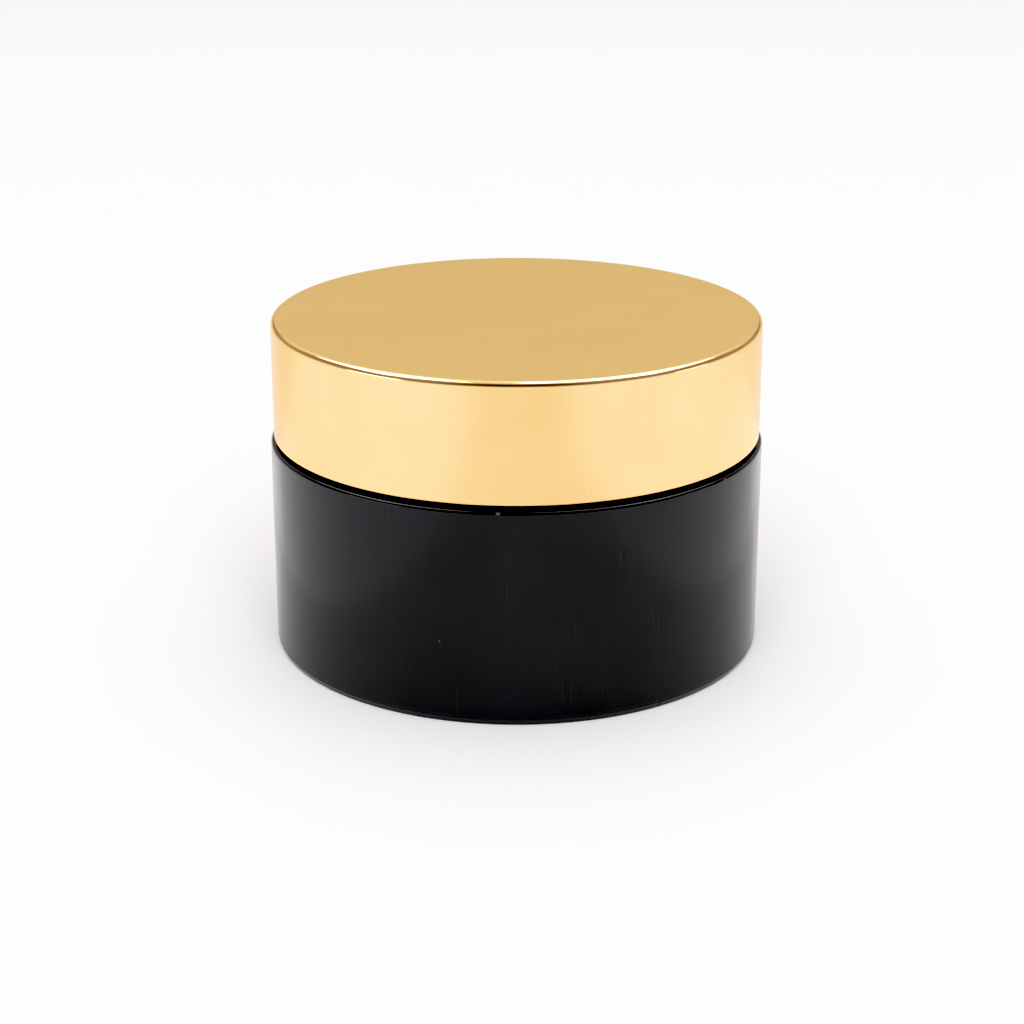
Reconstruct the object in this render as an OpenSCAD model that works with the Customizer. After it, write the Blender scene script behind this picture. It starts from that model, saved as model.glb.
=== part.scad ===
// Cream jar: a black outer jar, a white inner cup with a threaded neck, a sealing disc,
// and a screw lid made of a metal shell, a threaded insert and a foam liner.
// Millimetres, +Z up, origin at the centre of the foot.

/* [Outer jar] */
// Outer diameter of the jar
jar_d = 66; // [60:0.5:74]
// Height of the jar from its foot to its shoulder
jar_h = 28.5; // [26:0.5:40]
// Thickness of the wall around the step that holds the cup's flange
jar_wall = 2.4; // [2.2:0.1:2.6]
// Thickness of the floor
jar_floor = 1.8; // [1.4:0.1:2.4]
// Radius of the rounded heel
heel_r = 0.9; // [0.5:0.1:1.4]
// Radius of the rounded rim at the shoulder
rim_r = 0.45; // [0.3:0.05:0.7]
// Depth of the hollow under the base
foot_hollow = 0.8; // [0.4:0.1:1.2]

/* [Inner cup] */
// Distance from the jar's outside to the mouth
mouth_inset = 7.6; // [7.6:0.1:8.4]
// Wall of the bowl
cup_wall = 1.4; // [1.1:0.1:1.6]
// Wall of the neck under the thread
neck_wall = 1.8; // [1.6:0.1:2]
// Height of the bowl's floor above the foot, on its inside
cup_floor_z = 7; // [5.5:0.5:8]
// Radius of the bowl's inner corner
bowl_r = 16; // [8:1:18]

/* [Lid] */
// How much smaller across than the jar the lid is
lid_step = 0.8; // [0.6:0.1:1.2]
// Height of the lid
lid_h = 15.7; // [15:0.1:18]
// Gap between the jar's shoulder and the lid
lid_gap = 0.6; // [0.4:0.1:0.8]
// Wall of the drawn metal shell
shell_t = 0.6; // [0.5:0.1:0.7]
// Outer radius of the shell's top edge
shell_edge_r = 0.7; // [0.6:0.1:1]
// Number of ribs between the insert's skirt and the shell
rib_count = 24; // [12:1:36]

/* [Thread] */
// Number of starts
thread_starts = 2; // [1:1:3]
// Height from one ridge to the next
thread_pitch = 3.5; // [3.2:0.1:3.8]
// Turns that each ridge runs for
thread_turns = 0.75; // [0.5:0.05:0.75]
// Radial height of a ridge
thread_depth = 1.1; // [0.9:0.05:1.1]
// Radial gap between a ridge's crest and the wall that it faces
thread_gap = 0.25; // [0.2:0.05:0.3]

/* [Sealing disc and liner] */
// Thickness of the disc's flange and floor
disc_t = 0.9; // [0.7:0.1:1.1]
// Depth of the disc's dish below the mouth
disc_depth = 3.1; // [2.6:0.1:4]
// Length of the grip that stands in the dish
grip_l = 14; // [8:1:20]
// Thickness of the foam liner
liner_t = 1; // [0.8:0.1:1.2]

/* [Hidden] */
$fn = 144;

// Radii of the outer jar, from the outside in
jar_r = jar_d / 2;
step_r = jar_r - jar_wall;
well_r = step_r - 1;
groove_r = well_r + 0.25;
foot_in_r = jar_r - 3.4;
foot_chamfer = foot_hollow / 2;
well_corner_r = 3;

// Heights of the outer jar
jar_floor_z = foot_hollow + jar_floor;
flange_t = 1.2;
shelf_z = jar_h - flange_t;
groove_z = shelf_z - 3.4;
groove_half = 0.5;
groove_flat = 0.2;

// Radii of the inner cup
mouth_r = jar_r - mouth_inset;
neck_r = mouth_r + neck_wall;
bowl_out_r = mouth_r + cup_wall;
flange_r = step_r - 0.1;
snap_out_r = well_r - 0.1;
snap_in_r = snap_out_r - 1.3;
snap_bead_r = groove_r - 0.1;
snap_z = groove_z - 1.4;
lip_r = 0.5;

// The thread
thread_lead = thread_pitch * thread_starts;
ridge_base_w = 1.4;
ridge_crest_w = 0.6;
ridge_root = 0.4;
ridge_fade = 0.1;
ridge_sunk = 0.1;
ridge_step = 6;
neck_crest_r = neck_r + thread_depth;
flank_gap = 0.45;
ridge_drop = (ridge_base_w + ridge_crest_w) / 2 + flank_gap;

// Radii of the lid, from the outside in
lid_r = jar_r - lid_step / 2;
shell_in_r = lid_r - shell_t;
insert_out_r = shell_in_r - 0.1;
hem_in_r = shell_in_r - 0.8;
hem_chamfer = 0.15;
skirt_in_r = neck_crest_r + thread_gap;
skirt_out_r = skirt_in_r + 1.45;
insert_crest_r = neck_r + thread_gap;
liner_r = skirt_in_r - 0.25;
bead_r = liner_r - 0.25;

// Heights of the lid, from the top down, to the mouth that it closes
plate_t = 1.2;
lid_z = jar_h + lid_gap;
top_z = lid_z + lid_h;
plate_top_z = top_z - shell_t;
plate_z = plate_top_z - plate_t;
liner_z = plate_z - liner_t;
mouth_z = liner_z - disc_t;
hem_t = 0.4;
insert_z = lid_z + hem_t;
ring_t = 0.9;
rib_t = 1;
shell_in_edge_r = 0.15;
insert_chamfer = 0.25;

// Where the ridges start: on the neck, and on the insert below them
neck_thread_z = lid_z + 3.4;
insert_thread_z = neck_thread_z - ridge_drop;

// The sealing disc
disc_r = neck_r - 0.2;
plug_r = mouth_r - 0.2;
plug_wall = 1;
plug_edge_r = 0.6;
dish_z = mouth_z - disc_depth;
grip_w = 1.6;
grip_h = 2.2;

// Points along an arc around c, from angle a to angle b
function arc(c, r, a, b, n = 8) =
    [for (i = [0:n]) c + r * [cos(a + (b - a) * i / n), sin(a + (b - a) * i / n)]];

// A swept point at radius r, angle a and height z
function around(r, a, z) = [r * cos(a), r * sin(a), z];

// The crest's radius at a share t of the ridge's length: it rises from the wall at both ends
function crest_at(t, wall_r, crest_r) =
    let (rise = min(1, t / ridge_fade, (1 - t) / ridge_fade))
    let (sunk = wall_r + (wall_r > crest_r ? ridge_sunk : -ridge_sunk))
    sunk + (crest_r - sunk) * rise;

// One helical ridge on a round wall, standing out to crest_r, from height z upwards
module ridge(wall_r, root_r, crest_r, z) {
    count = round(thread_turns * 360 / ridge_step);
    outline = [for (i = [0:count])
        let (a = i * ridge_step)
        let (mid = z + thread_lead * a / 360)
        let (tip_r = crest_at(i / count, wall_r, crest_r))
        each [
            around(root_r, a, mid - ridge_base_w / 2),
            around(tip_r, a, mid - ridge_crest_w / 2),
            around(tip_r, a, mid + ridge_crest_w / 2),
            around(root_r, a, mid + ridge_base_w / 2)
        ]];
    sides = [for (i = [0:count - 1], k = [0:3])
        let (p = 4 * i + k)
        let (q = 4 * i + (k + 1) % 4)
        each [[p, p + 4, q + 4], [p, q + 4, q]]];
    last = 4 * count;
    ends = [[0, 1, 2], [0, 2, 3], [last + 2, last + 1, last], [last + 3, last + 2, last]];
    faces = concat(sides, ends);
    flipped = [for (f = faces) [f[2], f[1], f[0]]];
    polyhedron(outline, root_r < crest_r ? flipped : faces);
}

// The ridges of all starts on one wall
module thread(wall_r, root_r, crest_r, z) {
    for (start = [0:thread_starts - 1])
        rotate([0, 0, start * 360 / thread_starts])
            ridge(wall_r, root_r, crest_r, z);
}

module outer_jar() {
    color("#17171a")
        rotate_extrude()
            polygon(concat(
                [[0, foot_hollow], [foot_in_r - foot_chamfer, foot_hollow], [foot_in_r, 0]],
                arc([jar_r - heel_r, heel_r], heel_r, -90, 0),
                arc([jar_r - rim_r, jar_h - rim_r], rim_r, 0, 90),
                [[step_r, jar_h], [step_r, shelf_z], [well_r, shelf_z]],
                [[well_r, groove_z + groove_half], [groove_r, groove_z + groove_flat]],
                [[groove_r, groove_z - groove_flat], [well_r, groove_z - groove_half]],
                arc([well_r - well_corner_r, jar_floor_z + well_corner_r], well_corner_r, 0, -90),
                [[0, jar_floor_z]]
            ));
}

module inner_cup() {
    bowl_out_corner_r = bowl_r + cup_wall;
    bowl_z = cup_floor_z + bowl_r;
    color("#f2f2ef") {
        rotate_extrude()
            polygon(concat(
                [[0, cup_floor_z - cup_wall]],
                arc([mouth_r - bowl_r, bowl_z], bowl_out_corner_r, -90, 0, 16),
                [[bowl_out_r, shelf_z], [snap_in_r, shelf_z], [snap_in_r, snap_z]],
                [[snap_out_r, snap_z], [snap_out_r, groove_z - groove_half]],
                [[snap_bead_r, groove_z - groove_flat], [snap_bead_r, groove_z + groove_flat]],
                [[snap_out_r, groove_z + groove_half], [snap_out_r, shelf_z]],
                [[flange_r, shelf_z], [flange_r, jar_h], [neck_r, jar_h]],
                arc([neck_r - lip_r, mouth_z - lip_r], lip_r, 0, 90),
                arc([mouth_r + lip_r, mouth_z - lip_r], lip_r, 90, 180),
                arc([mouth_r - bowl_r, bowl_z], bowl_r, 0, -90, 16),
                [[0, cup_floor_z]]
            ));
        thread(neck_r, neck_r - ridge_root, neck_crest_r, neck_thread_z);
    }
}

module sealing_disc() {
    grip_end = (grip_l - grip_w) / 2;
    color("#f6f6f2") {
        rotate_extrude()
            polygon(concat(
                [[0, dish_z]],
                arc([plug_r - plug_edge_r, dish_z + plug_edge_r], plug_edge_r, -90, 0, 6),
                [[plug_r, mouth_z], [disc_r, mouth_z], [disc_r, mouth_z + disc_t]],
                [[plug_r - plug_wall, mouth_z + disc_t], [plug_r - plug_wall, dish_z + disc_t]],
                [[0, dish_z + disc_t]]
            ));
        translate([0, 0, dish_z + disc_t / 2]) {
            grip_rise = disc_t / 2 + grip_h;
            translate([-grip_end, -grip_w / 2, 0])
                cube([2 * grip_end, grip_w, grip_rise]);
            for (side = [-1, 1])
                translate([side * grip_end, 0, 0])
                    cylinder(h = grip_rise, d = grip_w, $fn = 32);
        }
    }
}

module lid_liner() {
    color("#e9e8e2")
        translate([0, 0, liner_z])
            cylinder(h = liner_t, r = liner_r);
}

module lid_insert() {
    ring_top_z = insert_z + ring_t;
    rib_l = insert_out_r - skirt_out_r;
    color("#1d1d20") {
        rotate_extrude()
            polygon([
                [skirt_in_r + 0.3, insert_z], [insert_out_r, insert_z],
                [insert_out_r, ring_top_z], [skirt_out_r, ring_top_z],
                [skirt_out_r, plate_z], [insert_out_r, plate_z],
                [insert_out_r, plate_top_z - insert_chamfer],
                [insert_out_r - insert_chamfer, plate_top_z], [0, plate_top_z],
                [0, plate_z], [skirt_in_r, plate_z],
                [skirt_in_r, liner_z - 0.1], [bead_r, liner_z - 0.3],
                [bead_r, liner_z - 0.6], [skirt_in_r, liner_z - 0.9],
                [skirt_in_r, insert_z + 0.5]
            ]);
        for (i = [0:rib_count - 1])
            rotate([0, 0, i * 360 / rib_count])
                translate([skirt_out_r - 0.2, -rib_t / 2, ring_top_z - 0.1])
                    cube([rib_l + 0.15, rib_t, plate_z - ring_top_z + 0.2]);
        thread(skirt_in_r, skirt_in_r + ridge_root, insert_crest_r, insert_thread_z);
    }
}

module lid_shell() {
    color("#e6bf76")
        rotate_extrude()
            polygon(concat(
                [[0, plate_top_z]],
                arc([shell_in_r - shell_in_edge_r, plate_top_z - shell_in_edge_r],
                    shell_in_edge_r, 90, 0, 3),
                [[shell_in_r, insert_z], [hem_in_r, insert_z], [hem_in_r, lid_z]],
                [[lid_r - hem_chamfer, lid_z], [lid_r, lid_z + hem_chamfer]],
                arc([lid_r - shell_edge_r, top_z - shell_edge_r], shell_edge_r, 0, 90),
                [[0, top_z]]
            ));
}

outer_jar();
inner_cup();
sealing_disc();
lid_liner();
lid_insert();
lid_shell();
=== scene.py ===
import math

import bmesh
import bpy
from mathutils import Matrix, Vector


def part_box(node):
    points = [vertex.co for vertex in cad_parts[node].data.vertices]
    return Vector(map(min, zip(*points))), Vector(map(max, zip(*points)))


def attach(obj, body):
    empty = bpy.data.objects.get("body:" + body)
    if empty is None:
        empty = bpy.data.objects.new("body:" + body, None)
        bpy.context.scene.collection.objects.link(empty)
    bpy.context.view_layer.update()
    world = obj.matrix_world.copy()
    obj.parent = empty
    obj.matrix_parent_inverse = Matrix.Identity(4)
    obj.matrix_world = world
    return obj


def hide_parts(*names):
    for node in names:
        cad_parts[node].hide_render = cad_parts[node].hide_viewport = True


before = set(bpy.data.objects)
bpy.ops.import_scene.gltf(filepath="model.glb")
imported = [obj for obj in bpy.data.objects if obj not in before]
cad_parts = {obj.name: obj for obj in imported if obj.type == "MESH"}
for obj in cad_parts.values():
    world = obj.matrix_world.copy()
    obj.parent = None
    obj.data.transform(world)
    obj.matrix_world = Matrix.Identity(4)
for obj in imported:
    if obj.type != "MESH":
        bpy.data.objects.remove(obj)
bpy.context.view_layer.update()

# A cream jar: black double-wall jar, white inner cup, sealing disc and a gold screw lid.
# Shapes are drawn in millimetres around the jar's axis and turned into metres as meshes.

MM = 0.001
TAU = 2 * math.pi
X, Y, Z = 0, 1, 2


# ---------------------------------------------------------------- sizes, from the frame

def low_mm(node, axis):
    """The lowest coordinate of a CAD node, in millimetres."""
    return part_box(node)[0][axis] / MM


def high_mm(node, axis):
    """The highest coordinate of a CAD node, in millimetres."""
    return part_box(node)[1][axis] / MM


def radius_mm(node):
    """The radius of a round CAD node: the smaller of its two half widths, to stay inside its box."""
    return min(high_mm(node, X), high_mm(node, Y))


# Outer jar
JAR_R = radius_mm("outer_jar")
JAR_TOP = high_mm("outer_jar", Z)
CUP_FLANGE_R = radius_mm("inner_cup")
STEP_R = CUP_FLANGE_R + 0.1
WELL_R = STEP_R - 1.0
SHELF_Z = JAR_TOP - 1.2
RIM_FILLET = 0.45

# Snap ring of the cup and its groove in the jar
SNAP_Z = SHELF_Z - 3.4
SNAP_DEPTH = 0.25
SNAP_HALF = 0.5
SNAP_FLAT_HALF = 0.2

# Inner cup and its mouth
MOUTH_Z = high_mm("inner_cup", Z)
CUP_BOTTOM = low_mm("inner_cup", Z)
CUP_WALL = 1.4
CUP_FLOOR = CUP_BOTTOM + CUP_WALL
DISC_R = radius_mm("sealing_disc")
DISC_T = 0.9
DISC_DEPTH = 3.1
NECK_R = DISC_R + 0.2
MOUTH_R = NECK_R - 1.8
BOWL_R = 16.0

# Thread
THREAD_DEPTH = 1.1
THREAD_STARTS = 2
THREAD_LEAD = 7.0
THREAD_TURNS = 0.75
NECK_CREST_R = NECK_R + THREAD_DEPTH
SKIRT_R = NECK_CREST_R + 0.25

# Lid
LID_R = radius_mm("lid_shell")
LID_TOP = high_mm("lid_shell", Z)
LID_BOTTOM = low_mm("lid_shell", Z)
SHELL_T = LID_TOP - high_mm("lid_insert", Z)
INSERT_R = radius_mm("lid_insert")
INSERT_TOP = high_mm("lid_insert", Z)
INSERT_BOTTOM = low_mm("lid_insert", Z)
LINER_R = radius_mm("lid_liner")
LINER_Z = low_mm("lid_liner", Z)
LINER_TOP = high_mm("lid_liner", Z)
PRESSED_R = 26.0
NECK_THREAD_Z = LID_BOTTOM + 3.4
LID_THREAD_Z = NECK_THREAD_Z - 1.45


# ---------------------------------------------------------------- small helpers

def node(tree, kind, inputs=(), **settings):
    """Adds one node with its settings. inputs maps a socket's name or place to a value or a link."""
    made = tree.nodes.new(kind)
    for name, value in settings.items():
        setattr(made, name, value)
    for name, value in dict(inputs).items():
        if isinstance(value, bpy.types.NodeSocket):
            tree.links.new(value, made.inputs[name])
        else:
            made.inputs[name].default_value = value
    return made


def linear(hex_colour):
    """An sRGB hex colour as linear red, green, blue and alpha."""
    parts = [int(hex_colour[i:i + 2], 16) / 255 for i in (1, 3, 5)]
    return [p / 12.92 if p <= 0.04045 else ((p + 0.055) / 1.055) ** 2.4 for p in parts] + [1.0]


def per_metre(size_mm):
    """The texture scale whose pattern repeats about every size_mm."""
    return 1 / (size_mm * MM)


def maths(tree, operation, a, b=0.0, c=0.0, clamp=False):
    """The result of one Math node."""
    return node(tree, "ShaderNodeMath", {0: a, 1: b, 2: c}, operation=operation, use_clamp=clamp).outputs[0]


def ramp(tree, value, low, high, start=0.0, end=1.0):
    """value from low to high becomes start to end, with smooth ends, and stays there outside."""
    made = node(tree, "ShaderNodeMapRange", {"Value": value, "From Min": low, "From Max": high,
                                             "To Min": start, "To Max": end},
                interpolation_type="SMOOTHSTEP")
    return made.outputs["Result"]


def mixed(tree, share, a, b):
    """The colour between a and b at that share."""
    made = node(tree, "ShaderNodeMix", data_type="RGBA")
    for place, value in ((0, share), (6, a), (7, b)):
        if isinstance(value, bpy.types.NodeSocket):
            tree.links.new(value, made.inputs[place])
        else:
            made.inputs[place].default_value = value
    return made.outputs[2]


# ---------------------------------------------------------------- materials

class Finish:
    """A material under construction: its tree, its shader and the piece's own coordinates."""

    def __init__(self, name, **sockets):
        self.material = bpy.data.materials.new(name)
        self.material.use_nodes = True
        self.tree = self.material.node_tree
        self.shader = self.tree.nodes["Principled BSDF"]
        for key, value in sockets.items():
            self.shader.inputs[key.replace("_", " ")].default_value = value
        self.place = node(self.tree, "ShaderNodeTexCoord").outputs["Object"]
        split = node(self.tree, "ShaderNodeSeparateXYZ", {0: self.place})
        self.x, self.y, self.z = split.outputs
        self.radius = maths(self.tree, "SQRT", maths(
            self.tree, "ADD", maths(self.tree, "MULTIPLY", self.x, self.x),
            maths(self.tree, "MULTIPLY", self.y, self.y)))

    def clouds_in(self, coords, detail, roughness=0.5, scale=1.0):
        """A cloudy pattern around 0.5, with features about one unit of the scaled coordinates wide."""
        made = node(self.tree, "ShaderNodeTexNoise", {"Vector": coords, "Scale": scale,
                                                      "Detail": detail, "Roughness": roughness})
        return made.outputs["Fac"]

    def noise(self, size_mm, detail=3.0, roughness=0.5):
        """A cloudy pattern around 0.5, with features of that size."""
        return self.clouds_in(self.place, detail, roughness, per_metre(size_mm))

    def upward(self):
        """How far the surface faces up: 1 on top, 0 on a wall and below."""
        normal = node(self.tree, "ShaderNodeTexCoord").outputs["Normal"]
        return maths(self.tree, "ADD", node(self.tree, "ShaderNodeSeparateXYZ", {0: normal}).outputs[2],
                     0.0, clamp=True)

    def stretched(self, turn, along_mm, across_mm):
        """Coordinates in which a unit pattern is long one way and thin the other, turned about Z."""
        return node(self.tree, "ShaderNodeMapping",
                    {"Vector": self.place, "Rotation": (0, 0, turn),
                     "Scale": (along_mm * MM, across_mm * MM, along_mm * MM)},
                    vector_type="TEXTURE").outputs[0]

    def upright(self, across_mm, up_mm):
        """Coordinates in which a unit pattern has one size up a wall and another around it."""
        return node(self.tree, "ShaderNodeMapping",
                    {"Vector": self.place, "Scale": (across_mm * MM, across_mm * MM, up_mm * MM)},
                    vector_type="TEXTURE").outputs[0]

    def scratches(self, coords, patch_mm, keep):
        """Short fine lines along the coordinates' long way, in patches: 1 on a line, 0 off it. A
        higher keep leaves fewer."""
        thin = ramp(self.tree, self.clouds_in(coords, 1.0), keep, keep + 0.025)
        patches = ramp(self.tree, self.noise(patch_mm, 1.0), 0.52, 0.6)
        return maths(self.tree, "MULTIPLY", thin, patches)

    def dots_in(self, coords, size, share, scale=1.0):
        """Scattered dots in that share of the cells, which are one unit of the scaled coordinates
        wide: 1 on a dot, 0 off it. size is a share of the cell."""
        cells = node(self.tree, "ShaderNodeTexVoronoi", {"Vector": coords, "Scale": scale})
        dot = ramp(self.tree, cells.outputs["Distance"], 0.0, size, 1.0, 0.0)
        pick = node(self.tree, "ShaderNodeSeparateColor", {0: cells.outputs["Color"]}).outputs[0]
        chosen = maths(self.tree, "GREATER_THAN", pick, 1 - share)
        return maths(self.tree, "MULTIPLY", dot, chosen)

    def specks(self, spacing_mm, size_mm, share):
        """Scattered dots of about size_mm, in that share of cells spacing_mm wide."""
        return self.dots_in(self.place, size_mm / spacing_mm, share, per_metre(spacing_mm))

    def weave(self, start, *terms):
        """start plus the sum of (strength, pattern) terms."""
        total = start
        for strength, pattern in terms:
            total = maths(self.tree, "MULTIPLY_ADD", pattern, strength, total)
        return total

    def bump(self, *layers):
        """Sets the shader's normal from (height in mm, pattern) layers."""
        height = self.weave(0.0, *[(depth * MM, pattern) for depth, pattern in layers])
        made = node(self.tree, "ShaderNodeBump", {"Strength": 1.0, "Distance": 1.0, "Height": height})
        self.tree.links.new(made.outputs[0], self.shader.inputs["Normal"])

    def colour(self, value):
        self.tree.links.new(value, self.shader.inputs["Base Color"])

    def roughness(self, value):
        self.tree.links.new(value, self.shader.inputs["Roughness"])


def anodised_aluminium():
    """Drawn aluminium, bright gold anodised: a satin flat top, a smoother side that the forming die
    has polished and that has a thin clear lacquer, and a burnished edge between them. The dyed
    oxide stays gold at a glancing angle. Handling leaves a few hairlines and some dust."""
    f = Finish("gold_anodised_aluminium", Metallic=1.0, Specular_Tint=linear("#fff1da"),
               Coat_Roughness=0.2, Coat_IOR=1.5)
    up = f.upward()
    lacquer = ramp(f.tree, up, 0.02, 0.3, 0.18, 0.0)
    f.tree.links.new(lacquer, f.shader.inputs["Coat Weight"])
    edge = ramp(f.tree, maths(f.tree, "MULTIPLY", up, maths(f.tree, "SUBTRACT", 1.0, up)), 0.0, 0.09)
    clouds = f.noise(14, 3.0)
    grain = f.noise(0.5, 2.0)
    hairlines = f.weave(0.0, (1.0, f.scratches(f.stretched(0.45, 9.0, 0.06), 7.0, 0.72)),
                        (0.7, f.scratches(f.stretched(2.2, 7.0, 0.06), 6.0, 0.74)))
    dust = f.specks(4.5, 0.16, 0.10)
    top = mixed(f.tree, ramp(f.tree, clouds, 0.35, 0.65), linear("#f4ca91"), linear("#f2c68d"))
    side = mixed(f.tree, ramp(f.tree, clouds, 0.35, 0.65), linear("#f2cb92"), linear("#f0c78e"))
    gold = mixed(f.tree, ramp(f.tree, up, 0.1, 0.9), side, top)
    gold = mixed(f.tree, maths(f.tree, "MULTIPLY", dust, 0.5), gold, linear("#8c6a35"))
    gold = mixed(f.tree, maths(f.tree, "MULTIPLY", hairlines, 0.3, clamp=True), gold, linear("#ffe9bc"))
    f.colour(gold)
    satin = maths(f.tree, "MULTIPLY_ADD", ramp(f.tree, up, 0.3, 0.9), 0.07, 0.235)
    worn = maths(f.tree, "ADD", satin, f.weave(-0.02, (0.02, clouds), (0.02, grain), (0.08, dust)))
    f.roughness(maths(f.tree, "MULTIPLY", worn, maths(f.tree, "MULTIPLY_ADD", edge, -0.68, 1.0)))
    f.bump((0.0012, f.noise(7.0, 2.0)), (-0.0015, hairlines))
    return f.material


def black_abs():
    """Black ABS, moulded against polished steel: deep neutral black under a smooth skin with a slight
    orange peel, faint smudges and hairlines from handling, dust, a few short nicks and a worn rim whose
    pale warm specks are partly chips and partly a painted glint."""
    f = Finish("black_polished_abs", IOR=1.49)
    smudges = f.weave(0.0, (0.55, f.noise(9, 3.0)), (0.45, f.clouds_in(f.upright(5, 16), 2.0)))
    peel = f.noise(2.2, 2.0)
    nicks = f.dots_in(f.upright(2.6, 9.0), 0.2, 0.16)
    hairlines = f.scratches(f.upright(0.06, 9.0), 6.0, 0.73)
    dust = f.specks(3.2, 0.12, 0.2)
    up = f.upward()
    rounded_rim = ramp(f.tree, f.z, (JAR_TOP - 0.5) * MM, (JAR_TOP - 0.3) * MM)
    rim_chips_and_glints = maths(f.tree, "MULTIPLY", rounded_rim, f.dots_in(f.upright(1.8, 1.0), 0.24, 0.35))
    black = mixed(f.tree, ramp(f.tree, smudges, 0.35, 0.65), linear("#121213"), linear("#161618"))
    black = mixed(f.tree, maths(f.tree, "MULTIPLY", dust, 0.7), black, linear("#c4c0b8"))
    black = mixed(f.tree, maths(f.tree, "MULTIPLY", hairlines, 0.1), black, linear("#a39f9a"))
    # Pale warm specks on the rim's rounding: partly chips, partly a painted glint that stands in for light
    # caught along the rim.
    black = mixed(f.tree, maths(f.tree, "MULTIPLY", rim_chips_and_glints, 0.35), black, linear("#b9aa98"))
    f.colour(black)
    f.roughness(f.weave(0.16, (0.06, ramp(f.tree, smudges, 0.3, 0.75)), (0.2, nicks), (0.05, hairlines),
                        (0.1, rim_chips_and_glints), (-0.03, ramp(f.tree, up, 0.1, 0.5))))
    f.bump((0.001, peel), (-0.05, nicks), (-0.001, hairlines), (-0.03, rim_chips_and_glints))
    return f.material


def white_polypropylene():
    """White polypropylene, moulded: milky and slightly see-through at its skin, with a soft waxy
    gloss, faint flow marks and a fine peel."""
    f = Finish("white_polypropylene", IOR=1.49, Subsurface_Weight=0.25, Subsurface_Scale=0.002)
    flow = f.noise(9, 3.0)
    peel = f.noise(0.9, 2.0)
    dust = f.specks(3.5, 0.08, 0.06)
    white = mixed(f.tree, ramp(f.tree, flow, 0.35, 0.7), linear("#f1f1ee"), linear("#e9e9e5"))
    f.colour(mixed(f.tree, maths(f.tree, "MULTIPLY", dust, 0.3), white, linear("#8f8c86")))
    f.roughness(f.weave(0.24, (0.16, flow), (0.08, peel)))
    f.bump((0.002, peel), (0.004, flow))
    return f.material


def natural_polyethylene():
    """Natural low-density polyethylene, moulded thin: cloudy, waxy and a little warm, duller than
    the cup, with scuffs from the pull of the finger."""
    f = Finish("natural_polyethylene", IOR=1.51, Subsurface_Weight=0.4, Subsurface_Scale=0.003)
    cloud = f.noise(5, 4.0)
    skin = f.noise(0.5, 2.0)
    scuffs = f.weave(0.0, (1.0, f.scratches(f.stretched(0.8, 5.0, 0.08), 4.0, 0.7)),
                     (1.0, f.scratches(f.stretched(2.4, 4.0, 0.07), 4.0, 0.71)))
    milky = mixed(f.tree, ramp(f.tree, cloud, 0.3, 0.7), linear("#f0efe8"), linear("#e4e3da"))
    f.colour(mixed(f.tree, maths(f.tree, "MULTIPLY", scuffs, 0.3, clamp=True), milky, linear("#fafaf6")))
    f.roughness(f.weave(0.36, (0.14, cloud), (0.1, skin), (0.1, scuffs)))
    f.bump((0.003, skin), (-0.004, scuffs), (0.004, cloud))
    return f.material


def polyethylene_foam():
    """Expanded polyethylene foam, skived to a sheet and die cut: matt, off-white, with fine closed cells
    that show as pits, darkened at their centres with painted shade. The cells are drawn 0.35 mm across, a
    little coarse, so that they show."""
    f = Finish("polyethylene_foam", IOR=1.5, Specular_IOR_Level=0.25)
    cells = node(f.tree, "ShaderNodeTexVoronoi", {"Vector": f.place, "Scale": per_metre(0.35)})
    pits = ramp(f.tree, cells.outputs["Distance"], 0.1, 0.6)
    tone = f.noise(6, 3.0)
    pressed = ramp(f.tree, maths(f.tree, "ABSOLUTE", maths(f.tree, "SUBTRACT", f.radius, PRESSED_R * MM)),
                   0.5 * MM, 1.1 * MM, 1.0, 0.0)
    # Random tone plus painted shade that darkens the centre of each cell's pit.
    tone_and_pit_shade = maths(f.tree, "MULTIPLY_ADD", pits, -0.3, maths(f.tree, "MULTIPLY_ADD", tone, 0.4, 0.3))
    foam = mixed(f.tree, tone_and_pit_shade, linear("#efeee8"), linear("#d5d3c9"))
    f.colour(mixed(f.tree, maths(f.tree, "MULTIPLY", pressed, 0.35), foam, linear("#d9d7cd")))
    f.roughness(f.weave(0.72, (0.15, pits), (-0.12, pressed)))
    f.bump((0.05, pits), (0.01, tone))
    return f.material


def black_polypropylene():
    """Black polypropylene, moulded in a spark-eroded tool: a dull even grain of about 0.15 mm that
    catches a soft grey light, drawn 0.25 mm so that it shows."""
    f = Finish("black_polypropylene", IOR=1.49, Specular_IOR_Level=0.35)
    spark = f.noise(0.25, 3.0, roughness=0.65)
    flow = f.noise(8, 3.0)
    f.colour(mixed(f.tree, ramp(f.tree, flow, 0.3, 0.7), linear("#1b1b1d"), linear("#242427")))
    f.roughness(f.weave(0.42, (0.12, spark), (0.08, flow)))
    f.bump((0.018, spark), (0.006, flow))
    return f.material


def white_sweep():
    """Painted card for the floor, matt with a trace of sheen."""
    f = Finish("white_sweep", IOR=1.45, Specular_IOR_Level=0.1)
    f.colour(mixed(f.tree, f.noise(60, 2.0), linear("#fbf9fa"), linear("#faf8f9")))
    f.roughness(ramp(f.tree, f.noise(30, 2.0), 0.0, 1.0, 0.45, 0.52))
    return f.material


# ---------------------------------------------------------------- outlines

def arc_points(centre, radius, start, sweep, count):
    """Points along an arc, both ends included. Angles in radians."""
    return [(centre[0] + radius * math.cos(start + sweep * i / count),
             centre[1] + radius * math.sin(start + sweep * i / count)) for i in range(count + 1)]


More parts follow.
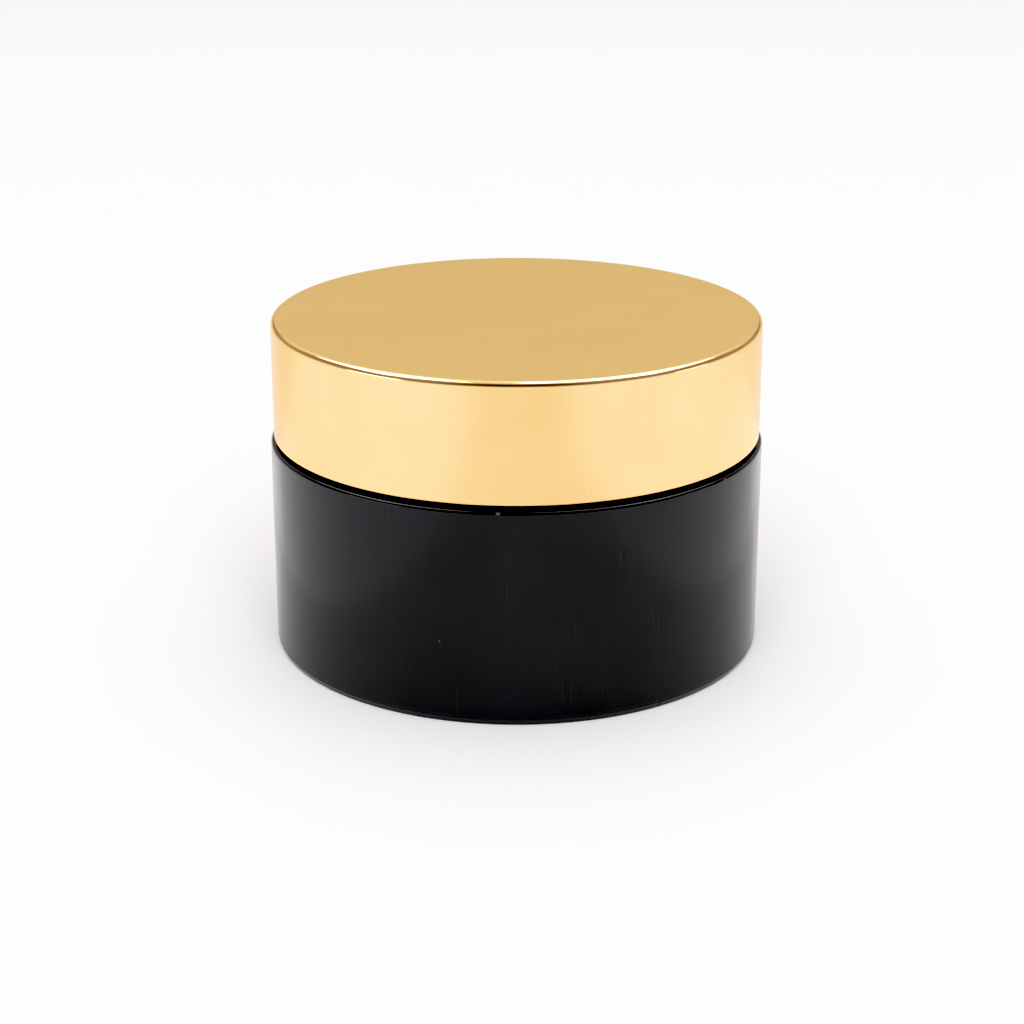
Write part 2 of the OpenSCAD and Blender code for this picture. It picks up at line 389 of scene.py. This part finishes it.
def rounded(corners, closed=False):
    """An outline through corners (r, z, fillet radius), with each corner rounded. Straight runs get
    a point close to each rounding, so that smooth shading stays inside the rounding."""
    count = len(corners)
    points = []
    for i, (r, z, fillet) in enumerate(corners):
        here = Vector((r, z))
        if not fillet or (not closed and i in (0, count - 1)):
            points.append((r, z))
            continue
        before = (Vector(corners[i - 1][:2]) - here).normalized()
        after = (Vector(corners[(i + 1) % count][:2]) - here).normalized()
        half = before.angle(after) / 2
        middle = here + (before + after).normalized() * (fillet / math.sin(half))
        first = here + before * (fillet / math.tan(half)) - middle
        last = here + after * (fillet / math.tan(half)) - middle
        start = math.atan2(first.y, first.x)
        sweep = (math.atan2(last.y, last.x) - start + math.pi) % TAU - math.pi
        steps = max(3, round(abs(sweep) * (6 if fillet > 0.3 else 4)))
        if fillet > 5:
            steps = round(abs(sweep) * fillet)        # about one step a millimetre
        points += arc_points(middle, fillet, start, sweep, steps)
    return supported(points, closed)


def supported(points, closed):
    """The outline with extra points on long straight runs: near both ends, and every few mm."""
    hold, longest = 0.2, 3.0
    ring = points + points[:1] if closed else points
    result = [ring[0]]
    for a, b in zip(ring, ring[1:]):
        run = Vector(b) - Vector(a)
        if run.length > 3 * hold:
            inner = run.length - 2 * hold
            pieces = max(1, round(inner / longest))
            for k in range(pieces + 1):
                at = Vector(a) + run.normalized() * (hold + inner * k / pieces)
                result.append((at.x, at.y))
        result.append(b)
    return result


def outline_object(name, points, closed=False):
    """A chain of edges through the points, in the XZ plane, in metres."""
    mesh = bpy.data.meshes.new(name)
    count = len(points)
    edges = [(i, i + 1) for i in range(count - 1)] + ([(count - 1, 0)] if closed else [])
    mesh.from_pydata([(r * MM, 0, z * MM) for r, z in points], edges, [])
    made = bpy.data.objects.new(name, mesh)
    bpy.context.scene.collection.objects.link(made)
    return made


# ---------------------------------------------------------------- geometry nodes

def new_tree(name, **inputs):
    """A geometry node tree with a Geometry input and these named inputs, and its output."""
    kinds = {int: "NodeSocketInt", float: "NodeSocketFloat"}
    tree = bpy.data.node_groups.new(name, "GeometryNodeTree")
    tree.interface.new_socket("Geometry", in_out="INPUT", socket_type="NodeSocketGeometry")
    for key, value in inputs.items():
        socket = tree.interface.new_socket(key.replace("_", " "), in_out="INPUT",
                                           socket_type=kinds[type(value)])
        socket.default_value = value
    tree.interface.new_socket("Finish", in_out="INPUT", socket_type="NodeSocketMaterial")
    tree.interface.new_socket("Geometry", in_out="OUTPUT", socket_type="NodeSocketGeometry")
    return tree, node(tree, "NodeGroupInput").outputs


def finish_tree(tree, geometry, given):
    """Ends a tree: merged, smooth, real geometry, with its material."""
    merged = node(tree, "GeometryNodeMergeByDistance", {"Geometry": geometry, "Distance": 0.002 * MM})
    smooth = node(tree, "GeometryNodeSetShadeSmooth", {"Geometry": merged.outputs[0]})
    real = node(tree, "GeometryNodeRealizeInstances", {"Geometry": smooth.outputs[0]})
    painted = node(tree, "GeometryNodeSetMaterial", {"Geometry": real.outputs[0],
                                                     "Material": given["Finish"]})
    node(tree, "NodeGroupOutput", {"Geometry": painted.outputs[0]})
    return tree


def polar(tree, radius, angle, height):
    """The point at that radius, angle and height around Z."""
    return node(tree, "ShaderNodeCombineXYZ", {
        "X": maths(tree, "MULTIPLY", radius, maths(tree, "COSINE", angle)),
        "Y": maths(tree, "MULTIPLY", radius, maths(tree, "SINE", angle)),
        "Z": height}).outputs[0]


def lathe_tree():
    """Turns an outline in the XZ plane around Z: a grid has one row for each point of the outline
    and one column for each step around."""
    tree, given = new_tree("Turned body", Steps_Around=288)
    points = node(tree, "GeometryNodeAttributeDomainSize", {"Geometry": given["Geometry"]})
    columns = maths(tree, "ADD", given["Steps Around"], 1)
    grid = node(tree, "GeometryNodeMeshGrid", {"Vertices X": points.outputs["Point Count"],
                                               "Vertices Y": columns})
    index = node(tree, "GeometryNodeInputIndex").outputs[0]
    row = maths(tree, "FLOOR", maths(tree, "DIVIDE", maths(tree, "ADD", index, 0.5), columns))
    column = maths(tree, "SUBTRACT", index, maths(tree, "MULTIPLY", row, columns))
    at = node(tree, "GeometryNodeSampleIndex",
              {"Geometry": given["Geometry"], "Index": row}, data_type="FLOAT_VECTOR", domain="POINT")
    tree.links.new(node(tree, "GeometryNodeInputPosition").outputs[0], at.inputs["Value"])
    split = node(tree, "ShaderNodeSeparateXYZ", {0: at.outputs[0]})
    angle = maths(tree, "DIVIDE", maths(tree, "MULTIPLY", column, TAU), given["Steps Around"])
    place = polar(tree, split.outputs["X"], angle, split.outputs["Z"])
    turned = node(tree, "GeometryNodeSetPosition", {"Geometry": grid.outputs["Mesh"], "Position": place})
    return finish_tree(tree, turned.outputs[0], given)


def around_axis(tree, geometry, count):
    """Copies of the geometry turned around Z in even steps."""
    points = node(tree, "GeometryNodePoints", {"Count": count})
    index = node(tree, "GeometryNodeInputIndex").outputs[0]
    turn = maths(tree, "DIVIDE", maths(tree, "MULTIPLY", index, TAU), count)
    euler = node(tree, "ShaderNodeCombineXYZ", {"Z": turn}).outputs[0]
    rotation = node(tree, "FunctionNodeEulerToRotation", {0: euler}).outputs[0]
    return node(tree, "GeometryNodeInstanceOnPoints",
                {"Points": points.outputs[0], "Instance": geometry, "Rotation": rotation}).outputs[0]


def thread_tree():
    """Sweeps a closed section along a rising helix, for each start. The section shrinks into the
    wall at both ends of the ridge."""
    tree, given = new_tree("Thread ridges", Starts=1, Steps=120, Turns=1.0, Lead=1.0, Wall_Radius=1.0,
                           First_Height=0.0, Fade=0.1)
    line = node(tree, "GeometryNodeMeshLine", {"Count": maths(tree, "ADD", given["Steps"], 1)})
    share = maths(tree, "DIVIDE", node(tree, "GeometryNodeInputIndex").outputs[0], given["Steps"])
    turns = maths(tree, "MULTIPLY", share, given["Turns"])
    height = maths(tree, "MULTIPLY_ADD", turns, given["Lead"], given["First Height"])
    place = polar(tree, given["Wall Radius"], maths(tree, "MULTIPLY", turns, TAU), height)
    helix = node(tree, "GeometryNodeSetPosition", {"Geometry": line.outputs[0], "Position": place})
    ends = maths(tree, "MINIMUM", share, maths(tree, "SUBTRACT", 1.0, share))
    size = ramp(tree, ends, 0.0, given["Fade"])
    stored = node(tree, "GeometryNodeStoreNamedAttribute",
                  {"Geometry": helix.outputs[0], "Name": "size", "Value": size},
                  data_type="FLOAT", domain="POINT")
    path = node(tree, "GeometryNodeMeshToCurve", {"Mesh": stored.outputs[0]})
    upright = node(tree, "GeometryNodeSetCurveNormal", {"Curve": path.outputs[0]}, mode="Z_UP")
    section = node(tree, "GeometryNodeMeshToCurve", {"Mesh": given["Geometry"]})
    scale = node(tree, "GeometryNodeInputNamedAttribute", {"Name": "size"}, data_type="FLOAT")
    swept = node(tree, "GeometryNodeCurveToMesh",
                 {"Curve": upright.outputs[0], "Profile Curve": section.outputs[0],
                  "Scale": scale.outputs[0], "Fill Caps": True})
    one = node(tree, "GeometryNodeMergeByDistance", {"Geometry": swept.outputs[0],
                                                     "Distance": 0.002 * MM})
    return finish_tree(tree, around_axis(tree, one.outputs[0], given["Starts"]), given)


def ring_tree():
    """Repeats a mesh evenly around Z."""
    tree, given = new_tree("Ring of ribs", Count=24)
    return finish_tree(tree, around_axis(tree, given["Geometry"], given["Count"]), given)


TURNED = lathe_tree()
THREAD = thread_tree()
RING = ring_tree()


def made_by(tree, name, base, finish, **inputs):
    """Runs a tree on the base object and returns the result as a plain mesh object of that name."""
    modifier = base.modifiers.new("shape", "NODES")
    modifier.node_group = tree
    sockets = {s.name: s.identifier for s in tree.interface.items_tree if s.in_out == "INPUT"}
    modifier[sockets["Finish"]] = finish
    for key, value in inputs.items():
        modifier[sockets[key.replace("_", " ")]] = value
    bpy.context.view_layer.update()
    evaluated = base.evaluated_get(bpy.context.evaluated_depsgraph_get())
    mesh = bpy.data.meshes.new_from_object(evaluated)
    mesh.name = name
    base.modifiers.remove(modifier)
    bpy.data.objects.remove(base)
    return finished(name, mesh)


def finished(name, mesh):
    """A piece from a mesh: normals outwards, smooth with true corners kept."""
    shape = bmesh.new()
    shape.from_mesh(mesh)
    bmesh.ops.recalc_face_normals(shape, faces=shape.faces)
    shape.to_mesh(mesh)
    shape.free()
    mesh.set_sharp_from_angle(angle=math.radians(38))
    piece = bpy.data.objects.new(name, mesh)
    bpy.context.scene.collection.objects.link(piece)
    return piece


def turned(name, corners, finish):
    """A piece turned from rounded corners that start and end on the axis."""
    return made_by(TURNED, name, outline_object(name + "_outline", rounded(corners)), finish)


# ---------------------------------------------------------------- pieces

def put(piece, body, node_name):
    """The piece rides on its body and stands for its CAD node, which is hidden."""
    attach(piece, body)
    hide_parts(node_name)


def snap_profile(wall_r):
    """The snap bead or its groove on an upright wall, from its lower end to its upper end."""
    deep = wall_r + SNAP_DEPTH
    return [(wall_r, SNAP_Z - SNAP_HALF, 0.1), (deep, SNAP_Z - SNAP_FLAT_HALF, 0.1),
            (deep, SNAP_Z + SNAP_FLAT_HALF, 0.1), (wall_r, SNAP_Z + SNAP_HALF, 0.1)]


def jar_wall(finish):
    """The black outer jar, with its foot ring, hollow base, gate mark and the step for the cup. The
    heel is a steep bevel with a fine witness line of the mould above it."""
    base, heel, floor = 0.8, 0.8, 2.6
    gate_mark = [(0, base - 0.18, 0), (1.5, base - 0.18, 0.1), (1.8, base, 0.1)]
    base_groove = [(19.2, base, 0.1), (19.6, base + 0.25, 0.1), (20.6, base + 0.25, 0.1), (21.0, base, 0.1)]
    foot_ring = [(JAR_R - 3.9, base, 0.3), (JAR_R - 3.4, 0, 0.15), (JAR_R - 0.4, 0, 0.1),
                 (JAR_R, heel, 0.06)]
    witness_line = [(JAR_R, heel + 0.12, 0.02), (JAR_R - 0.03, heel + 0.24, 0.02),
                    (JAR_R, heel + 0.32, 0.02)]
    step = [(JAR_R, JAR_TOP, RIM_FILLET), (STEP_R, JAR_TOP, 0.12), (STEP_R, SHELF_Z, 0.1),
            (WELL_R, SHELF_Z, 0.1)]
    well = snap_profile(WELL_R)[::-1] + [(WELL_R, floor, 3.0), (0, floor, 0)]
    return turned("jar_wall", gate_mark + base_groove + foot_ring + witness_line + step + well, finish)


def cup_bowl(finish):
    """The white inner cup: bowl, neck with a rounded lip, flange and snap ring."""
    outer = MOUTH_R + CUP_WALL
    ring_out, ring_in = WELL_R - 0.1, WELL_R - 1.4
    ring_z = SNAP_Z - 1.4
    bowl = [(0, CUP_BOTTOM, 0), (outer, CUP_BOTTOM, BOWL_R + CUP_WALL), (outer, SHELF_Z, 0.3)]
    ring = [(ring_in, SHELF_Z, 0.3), (ring_in, ring_z, 0.2), (ring_out, ring_z, 0.4)]
    flange = [(ring_out, SHELF_Z, 0.05), (CUP_FLANGE_R, SHELF_Z, 0.1), (CUP_FLANGE_R, JAR_TOP, 0.2)]
    neck = [(NECK_R, JAR_TOP, 0.5), (NECK_R, MOUTH_Z, 0.5), (MOUTH_R, MOUTH_Z, 0.5)]
    inside = [(MOUTH_R, CUP_FLOOR, BOWL_R), (0, CUP_FLOOR, 0)]
    return turned("cup_bowl", bowl + ring + snap_profile(ring_out) + flange + neck + inside, finish)


def ridges(name, wall_r, side, depth, first_z, finish):
    """The helical ridges on a round wall. side is 1 for ridges that stand outwards, -1 inwards."""
    sunk, base_half, crest_half = 0.12, 0.74, 0.3
    points = rounded([(-side * sunk, -base_half, 0), (side * depth, -crest_half, 0.14),
                      (side * depth, crest_half, 0.14), (-side * sunk, base_half, 0)], closed=True)[:-1]
    mesh = bpy.data.meshes.new(name + "_section")
    count = len(points)
    mesh.from_pydata([(x * MM, -y * MM, 0) for x, y in points],
                     [(i, (i + 1) % count) for i in range(count)], [])
    section = bpy.data.objects.new(name + "_section", mesh)
    bpy.context.scene.collection.objects.link(section)
    return made_by(THREAD, name, section, finish, Starts=THREAD_STARTS, Steps=140,
                   Turns=THREAD_TURNS, Lead=THREAD_LEAD * MM, Wall_Radius=wall_r * MM,
                   First_Height=first_z * MM, Fade=0.1)


def disc_dish(finish):
    """The sealing disc: a flange, a shallow dish and two raised rings that stiffen its floor."""
    dish = MOUTH_Z - DISC_DEPTH
    floor = dish + DISC_T
    ring_top = floor + 0.35
    plug = MOUTH_R - 0.2
    top = MOUTH_Z + DISC_T
    outline = [(0, dish, 0), (plug, dish, 0.6), (plug, MOUTH_Z, 0.1), (DISC_R, MOUTH_Z, 0.15),
               (DISC_R, top, 0.25), (plug - 1, top, 0.35), (plug - 1, floor, 0.5)]
    for r in (18.0, 11.0):
        outline += [(r + 0.9, floor, 0.15), (r + 0.6, ring_top, 0.15),
                    (r - 0.6, ring_top, 0.15), (r - 0.9, floor, 0.15)]
    return turned("disc_dish", outline + [(0, floor, 0)], finish)


def grip_outline(length, width):
    """The grip seen from above: two sides that draw in at the waist, and round ends."""
    straight = length - width
    outline = []
    for side in (1, -1):
        for i in range(24):
            t = i / 24
            waist = 0.5 * width * (1 - 0.28 * math.sin(math.pi * t) ** 2)
            outline.append((side * (0.5 - t) * straight, side * waist))
        for k in range(1, 8):
            a = math.pi * k / 8
            outline.append((-side * (0.5 * straight + 0.5 * width * math.sin(a)),
                            side * 0.5 * width * math.cos(a)))
    return outline


def disc_grip(finish):
    """The grip that stands in the dish, with a waist for two fingers and rounded edges."""
    bottom = (MOUTH_Z - 2.6) * MM        # sunk into the dish's floor
    top = (MOUTH_Z - 0.1) * MM
    shape = bmesh.new()
    base = shape.faces.new([shape.verts.new((x * MM, y * MM, bottom)) for x, y in grip_outline(14.0, 1.6)])
    raised = bmesh.ops.extrude_face_region(shape, geom=[base])
    for v in raised["geom"]:
        if isinstance(v, bmesh.types.BMVert):
            v.co.z = top
    edges = [e for e in shape.edges if all(abs(v.co.z - top) < 1e-6 for v in e.verts)]
    bmesh.ops.bevel(shape, geom=edges, offset=0.35 * MM, segments=4, profile=0.5, affect="EDGES")
    mesh = bpy.data.meshes.new("disc_grip")
    shape.to_mesh(mesh)
    shape.free()
    mesh.polygons.foreach_set("use_smooth", [True] * len(mesh.polygons))
    mesh.materials.append(finish)
    return finished("disc_grip", mesh)


def liner_disc(finish):
    """The foam liner, with soft cut edges and the shallow ring that the closed lid has pressed."""
    pressed_z = LINER_Z + 0.08
    return turned("liner_disc", [
        (0, LINER_Z, 0), (PRESSED_R - 1.2, LINER_Z, 0.5), (PRESSED_R - 0.8, pressed_z, 0.3),
        (PRESSED_R + 0.8, pressed_z, 0.3), (PRESSED_R + 1.2, LINER_Z, 0.3), (LINER_R, LINER_Z, 0.2),
        (LINER_R, LINER_TOP, 0.2), (0, LINER_TOP, 0)], finish)


def insert_cap(finish):
    """The lid's moulded insert: plate, skirt, bottom ring and the bead that holds the liner."""
    plate = LINER_TOP
    skirt_out = SKIRT_R + 1.45
    bead = LINER_R - 0.25
    ring_top = INSERT_BOTTOM + 0.9
    return turned("insert_cap", [
        (0, plate, 0), (SKIRT_R, plate, 0.15), (SKIRT_R, LINER_Z - 0.1, 0.05), (bead, LINER_Z - 0.3, 0.05),
        (bead, LINER_Z - 0.6, 0.1), (SKIRT_R, LINER_Z - 0.9, 0.1), (SKIRT_R, INSERT_BOTTOM + 0.5, 0.1),
        (SKIRT_R + 0.3, INSERT_BOTTOM, 0.12), (INSERT_R, INSERT_BOTTOM, 0.12), (INSERT_R, ring_top, 0.15),
        (skirt_out, ring_top, 0.3), (skirt_out, plate, 0.3), (INSERT_R, plate, 0.15),
        (INSERT_R, INSERT_TOP, 0.25), (0, INSERT_TOP, 0)], finish)


def insert_ribs(finish):
    """The thin ribs between the insert's skirt and the shell, with drafted sides."""
    inner, outer = SKIRT_R + 1.3, INSERT_R - 0.04
    shape = bmesh.new()

    def corners(z, half):
        """The four corners of the rib at that height."""
        around = ((inner, -half), (outer, -half), (outer, half), (inner, half))
        return [shape.verts.new((x * MM, y * MM, z * MM)) for x, y in around]

    lower = corners(INSERT_BOTTOM + 0.8, 0.5)
    upper = corners(LINER_TOP + 0.1, 0.42)
    shape.faces.new(lower[::-1])
    shape.faces.new(upper)
    for i in range(4):
        k = (i + 1) % 4
        shape.faces.new((lower[i], lower[k], upper[k], upper[i]))
    outer_edges = [e for e in shape.edges if all(v.co.x > (outer - 0.06) * MM for v in e.verts)
                   and abs(e.verts[0].co.z - e.verts[1].co.z) > MM]
    bmesh.ops.bevel(shape, geom=outer_edges, offset=0.2 * MM, segments=3, profile=0.5, affect="EDGES")
    mesh = bpy.data.meshes.new("rib")
    shape.to_mesh(mesh)
    shape.free()
    rib = bpy.data.objects.new("rib", mesh)
    bpy.context.scene.collection.objects.link(rib)
    return made_by(RING, "insert_ribs", rib, finish, Count=24)


def gold_shell(finish):
    """The drawn shell: flat top, tight burnished edge, straight side and a hem turned in."""
    inner = LID_R - SHELL_T
    inside_top = LID_TOP - SHELL_T
    return turned("gold_shell", [
        (0, inside_top, 0), (inner, inside_top, 0.15), (inner, LID_BOTTOM + 0.4, 0.08),
        (inner - 0.8, LID_BOTTOM + 0.4, 0.15), (inner - 0.8, LID_BOTTOM, 0.15),
        (LID_R, LID_BOTTOM, 0.25), (LID_R, LID_TOP, 0.7), (0, LID_TOP, 0)], finish)


def make_pieces():
    """Makes and places every piece of the jar."""
    abs_black = black_abs()
    pp_white = white_polypropylene()
    pe_natural = natural_polyethylene()
    pp_black = black_polypropylene()
    put(jar_wall(abs_black), "jar", "outer_jar")
    put(cup_bowl(pp_white), "jar", "inner_cup")
    put(ridges("cup_thread", NECK_R, 1, THREAD_DEPTH, NECK_THREAD_Z, pp_white),
        "jar", "inner_cup")
    put(disc_dish(pe_natural), "disc", "sealing_disc")
    put(disc_grip(pe_natural), "disc", "sealing_disc")
    put(liner_disc(polyethylene_foam()), "liner", "lid_liner")
    put(insert_cap(pp_black), "lid", "lid_insert")
    put(insert_ribs(pp_black), "lid", "lid_insert")
    put(ridges("insert_thread", SKIRT_R, -1, THREAD_DEPTH, LID_THREAD_Z, pp_black),
        "lid", "lid_insert")
    put(gold_shell(anodised_aluminium()), "lid", "lid_shell")


# ---------------------------------------------------------------- stage

def make_floor():
    """A wide pale floor that the jar stands on."""
    mesh = bpy.data.meshes.new("floor")
    half = 6.0
    mesh.from_pydata([(-half, -half, 0), (half, -half, 0), (half, half, 0), (-half, half, 0)],
                     [], [(0, 1, 2, 3)])
    mesh.materials.append(white_sweep())
    floor = bpy.data.objects.new("floor", mesh)
    bpy.context.scene.collection.objects.link(floor)


def make_surroundings():
    """What the glossy surfaces see of the room: bright low down all round, dimmer above that,
    bright behind the jar and overhead, and dark around the camera."""
    world = bpy.data.worlds.new("studio")
    bpy.context.scene.world = world
    world.use_nodes = True
    tree = world.node_tree
    way = node(tree, "ShaderNodeSeparateXYZ", {0: node(tree, "ShaderNodeTexCoord").outputs["Generated"]})
    x, y, z = way.outputs
    deg = math.radians(1)
    rise = maths(tree, "ARCSINE", z)
    off_front = maths(tree, "ABSOLUTE", maths(tree, "ARCTAN2", x, maths(tree, "MULTIPLY", y, -1)))
    low = ramp(tree, rise, 3 * deg, 12 * deg, 0.95, 0.36)
    behind = maths(tree, "MULTIPLY", ramp(tree, off_front, 120 * deg, 165 * deg),
                   ramp(tree, rise, 14 * deg, 30 * deg, 0.0, 0.7))
    high = ramp(tree, rise, 45 * deg, 75 * deg, 0.0, 0.55)
    room = maths(tree, "ADD", low, maths(tree, "MAXIMUM", high, behind))
    over_or_under = maths(tree, "MAXIMUM", ramp(tree, rise, 62 * deg, 80 * deg),
                          ramp(tree, rise, 18 * deg, 28 * deg, 1.0, 0.0))
    past_camera = maths(tree, "MAXIMUM", ramp(tree, off_front, 16 * deg, 52 * deg), over_or_under)
    glow = maths(tree, "MULTIPLY", room, maths(tree, "MULTIPLY_ADD", past_camera, 0.8, 0.2))
    seen = node(tree, "ShaderNodeLightPath").outputs["Is Camera Ray"]
    strength = node(tree, "ShaderNodeMix", {0: seen, 2: glow, 3: 1.15}, data_type="FLOAT").outputs[0]
    back = tree.nodes["Background"]
    tree.links.new(strength, back.inputs["Strength"])
    back.inputs["Color"].default_value = (1, 1, 1, 1)
    world.cycles_visibility.diffuse = False


def make_panel(name, place, towards, width, height, strength, glossy=True, tint="#ffffff"):
    """A flat light. Glossy panels show only in shiny surfaces; the others only light matt ones."""
    light = bpy.data.lights.new(name, "AREA")
    light.shape = "RECTANGLE"
    light.size = width
    light.size_y = height
    light.energy = strength * math.pi * width * height
    light.color = linear(tint)[:3]
    panel = bpy.data.objects.new(name, light)
    bpy.context.scene.collection.objects.link(panel)
    panel.location = place
    panel.rotation_euler = (Vector(place) - Vector(towards)).to_track_quat("Z", "Y").to_euler()
    panel.visible_camera = False
    panel.visible_diffuse = not glossy
    panel.visible_glossy = glossy


def level_way(turn):
    """The level direction turned that many degrees from the camera's side to its right."""
    return Vector((math.sin(math.radians(turn)), -math.cos(math.radians(turn)), 0))


def make_light():
    """A soft dome and a front fill for the matt surfaces. For the shiny ones, the surroundings, two
    ceiling panels over and behind the jar with a gap between them, and on each side a low strip
    light and a faint glow from the floor."""
    make_surroundings()
    up = Vector((0, 0, 1))
    make_panel("dome", (0, 0, 3.0), (0, 0, 0), 12.0, 12.0, 0.96, glossy=False)
    make_panel("front_fill", (0, -2.5, 2.0), (0, 0, 0), 3.0, 2.0, 3.6, glossy=False)
    for name, left, right, strength in (("ceiling_left", -0.85, -0.19, 4.4),
                                        ("ceiling_right", 0.02, 0.85, 3.9)):
        middle = (left + right) / 2
        make_panel(name, (middle, 0.4, 1.0), (middle, 0.4, 0), right - left, 1.02, strength)
    for name, turn in (("glow_left", -67), ("glow_right", 72)):
        place = level_way(turn) * 0.22
        make_panel(name, place + up * 0.001, place + up, 0.3, 0.3, 0.28, tint="#eceaff")
    for name, turn, width, strength in (("strip_left", -66, 0.45, 2.3), ("strip_right", 84, 0.3, 1.3)):
        make_panel(name, level_way(turn) * 0.9 + up * 0.12, up * 0.12, width, 0.22, strength,
                   tint="#efeeff")


def set_tone():
    """A print-like tone: a firm black point and a soft shoulder below white."""
    black, white = 0.0395, 1.45
    view = bpy.context.scene.view_settings
    view.view_transform = "Standard"
    view.use_curve_mapping = True
    curves = view.curve_mapping
    curves.black_level = (black, black, black)
    curves.white_level = (white, white, white)
    points = curves.curves[3].points
    for scene, shown in ((0.2, 0.164), (0.3, 0.266), (0.4, 0.42), (0.63, 0.652), (0.85, 0.832),
                         (0.95, 0.922), (1.05, 0.98), (1.2, 0.996)):
        points.new((scene - black) / (white - black), shown)
    curves.update()


def make_camera():
    """The camera looks a little down on the jar, from the front."""
    distance, height, sideways = 0.2918, 0.12116, -0.00079
    look_down, look_right = 19.678, 0.036
    data = bpy.data.cameras.new("camera")
    data.sensor_width = 36
    data.lens = 79.575
    data.clip_start = 0.01
    camera = bpy.data.objects.new("camera", data)
    bpy.context.scene.collection.objects.link(camera)
    camera.location = (sideways, -distance, height)
    camera.rotation_euler = (math.radians(90 - look_down), 0, math.radians(-look_right))
    bpy.context.scene.camera = camera


set_tone()
make_camera()
make_light()
make_floor()
make_pieces()
